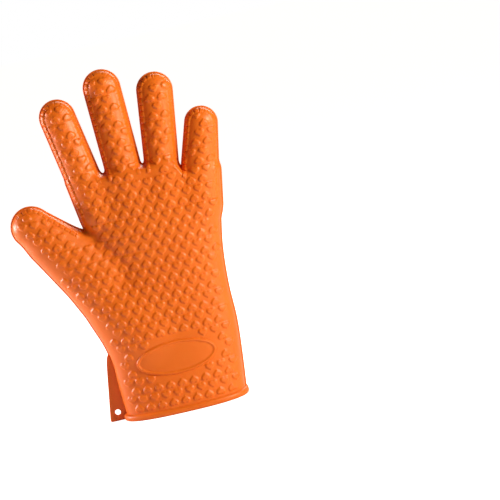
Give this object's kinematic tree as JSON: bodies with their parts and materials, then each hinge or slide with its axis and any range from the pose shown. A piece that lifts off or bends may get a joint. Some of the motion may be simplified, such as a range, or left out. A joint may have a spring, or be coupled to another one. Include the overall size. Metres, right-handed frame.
{
  "type": "heat resistant glove",
  "caption": "Five-finger silicone oven and grill glove with a raised grip pattern, an open oval cuff with a rolled rim, and a hanging tab with a hole.",
  "frame": {"origin": "middle of the bounding box, on the plane of the cuff's rim that the glove stands on", "axes": "+Z from the cuff to the fingertips, +Y out of the palm face, -X towards the thumb"},
  "size_m": [0.1804, 0.055, 0.2787],
  "materials": {
    "silicone": "semi-gloss orange silicone with a raised moulded grip pattern",
    "smooth_silicone": "smooth semi-gloss orange silicone"
  },
  "bodies": {
    "root": {"cuff_bead": "smooth_silicone", "cuff_sleeve": "silicone", "hang_tab": "silicone", "tab_eyelet": "smooth_silicone", "back_plate": "smooth_silicone", "palm_plate": "smooth_silicone", "back_panel": "silicone", "palm_panel": "silicone", "knuckle_crease": "silicone", "thumb_base_crease": "silicone"},
    "knuckles": {"knuckle_back": "silicone", "knuckle_front": "silicone", "finger_web": "silicone", "index_lower_tube": "silicone", "middle_lower_tube": "silicone", "ring_lower_tube": "silicone", "little_lower_tube": "silicone", "index_middle_crease": "silicone", "middle_middle_crease": "silicone", "ring_middle_crease": "silicone", "little_middle_crease": "silicone"},
    "index_middle": {"index_middle_tube": "silicone", "index_end_crease": "silicone"},
    "index_end": {"index_end_cap": "silicone"},
    "middle_middle": {"middle_middle_tube": "silicone", "middle_end_crease": "silicone"},
    "middle_end": {"middle_end_cap": "silicone"},
    "ring_middle": {"ring_middle_tube": "silicone", "ring_end_crease": "silicone"},
    "ring_end": {"ring_end_cap": "silicone"},
    "little_middle": {"little_middle_tube": "silicone", "little_end_crease": "silicone"},
    "little_end": {"little_end_cap": "silicone"},
    "thumb_lower": {"thumb_lower_tube": "silicone", "thumb_end_crease": "silicone"},
    "thumb_end": {"thumb_end_cap": "silicone"}
  },
  "joints": [
    {"name": "knuckle_fold", "type": "hinge", "parent": "root", "child": "knuckles", "pos_m": [0.02277, 0.0135, 0.172], "axis": [-1, 0, 0], "range_deg": [-10, 80], "stiffness_Nm_per_rad": 0.4, "deforming": ["knuckle_crease"]},
    {"name": "index_bend", "type": "hinge", "parent": "knuckles", "child": "index_middle", "pos_m": [-0.02761, 0.00801, 0.21718], "axis": [-0.9965, 0, -0.0837], "range_deg": [0, 90], "stiffness_Nm_per_rad": 0.06, "deforming": ["index_middle_crease"]},
    {"name": "index_end_bend", "type": "hinge", "parent": "index_middle", "child": "index_end", "pos_m": [-0.0312, 0.00733, 0.23838], "axis": [-0.9965, 0, -0.0837], "range_deg": [0, 36], "stiffness_Nm_per_rad": 0.03, "deforming": ["index_end_crease"]},
    {"name": "middle_bend", "type": "hinge", "parent": "knuckles", "child": "middle_middle", "pos_m": [0.0078, 0.00803, 0.22149], "axis": [-0.9999, 0, -0.0148], "range_deg": [0, 90], "stiffness_Nm_per_rad": 0.06, "deforming": ["middle_middle_crease"]},
    {"name": "middle_end_bend", "type": "hinge", "parent": "middle_middle", "child": "middle_end", "pos_m": [0.00701, 0.00738, 0.24798], "axis": [-0.9999, 0, -0.0148], "range_deg": [0, 36], "stiffness_Nm_per_rad": 0.03, "deforming": ["middle_end_crease"]},
    {"name": "ring_bend", "type": "hinge", "parent": "knuckles", "child": "ring_middle", "pos_m": [0.04208, 0.00802, 0.21795], "axis": [-0.9977, 0, 0.0671], "range_deg": [0, 90], "stiffness_Nm_per_rad": 0.06, "deforming": ["ring_middle_crease"]},
    {"name": "ring_end_bend", "type": "hinge", "parent": "ring_middle", "child": "ring_end", "pos_m": [0.04523, 0.00734, 0.24124], "axis": [-0.9977, 0, 0.0671], "range_deg": [0, 36], "stiffness_Nm_per_rad": 0.03, "deforming": ["ring_end_crease"]},
    {"name": "little_bend", "type": "hinge", "parent": "knuckles", "child": "little_middle", "pos_m": [0.07112, 0.00806, 0.19751], "axis": [-0.9922, 0, 0.1245], "range_deg": [0, 90], "stiffness_Nm_per_rad": 0.06, "deforming": ["little_middle_crease"]},
    {"name": "little_end_bend", "type": "hinge", "parent": "little_middle", "child": "little_end", "pos_m": [0.07532, 0.00728, 0.21398], "axis": [-0.9922, 0, 0.1245], "range_deg": [0, 36], "stiffness_Nm_per_rad": 0.03, "deforming": ["little_end_crease"]},
    {"name": "thumb_base_bend", "type": "hinge", "parent": "root", "child": "thumb_lower", "pos_m": [-0.05369, 0.01022, 0.14477], "axis": [-0.7738, 0, -0.6334], "range_deg": [0, 45], "stiffness_Nm_per_rad": 0.12, "deforming": ["thumb_base_crease"]},
    {"name": "thumb_end_bend", "type": "hinge", "parent": "thumb_lower", "child": "thumb_end", "pos_m": [-0.06509, 0.00922, 0.1587], "axis": [-0.7738, 0, -0.6334], "range_deg": [0, 60], "stiffness_Nm_per_rad": 0.06, "deforming": ["thumb_end_crease"]}
  ],
  "couplings": [
    {"joint": "index_end_bend", "follows": "index_bend", "ratio": 0.4},
    {"joint": "middle_end_bend", "follows": "middle_bend", "ratio": 0.4},
    {"joint": "ring_end_bend", "follows": "ring_bend", "ratio": 0.4},
    {"joint": "little_end_bend", "follows": "little_bend", "ratio": 0.4}
  ]
}
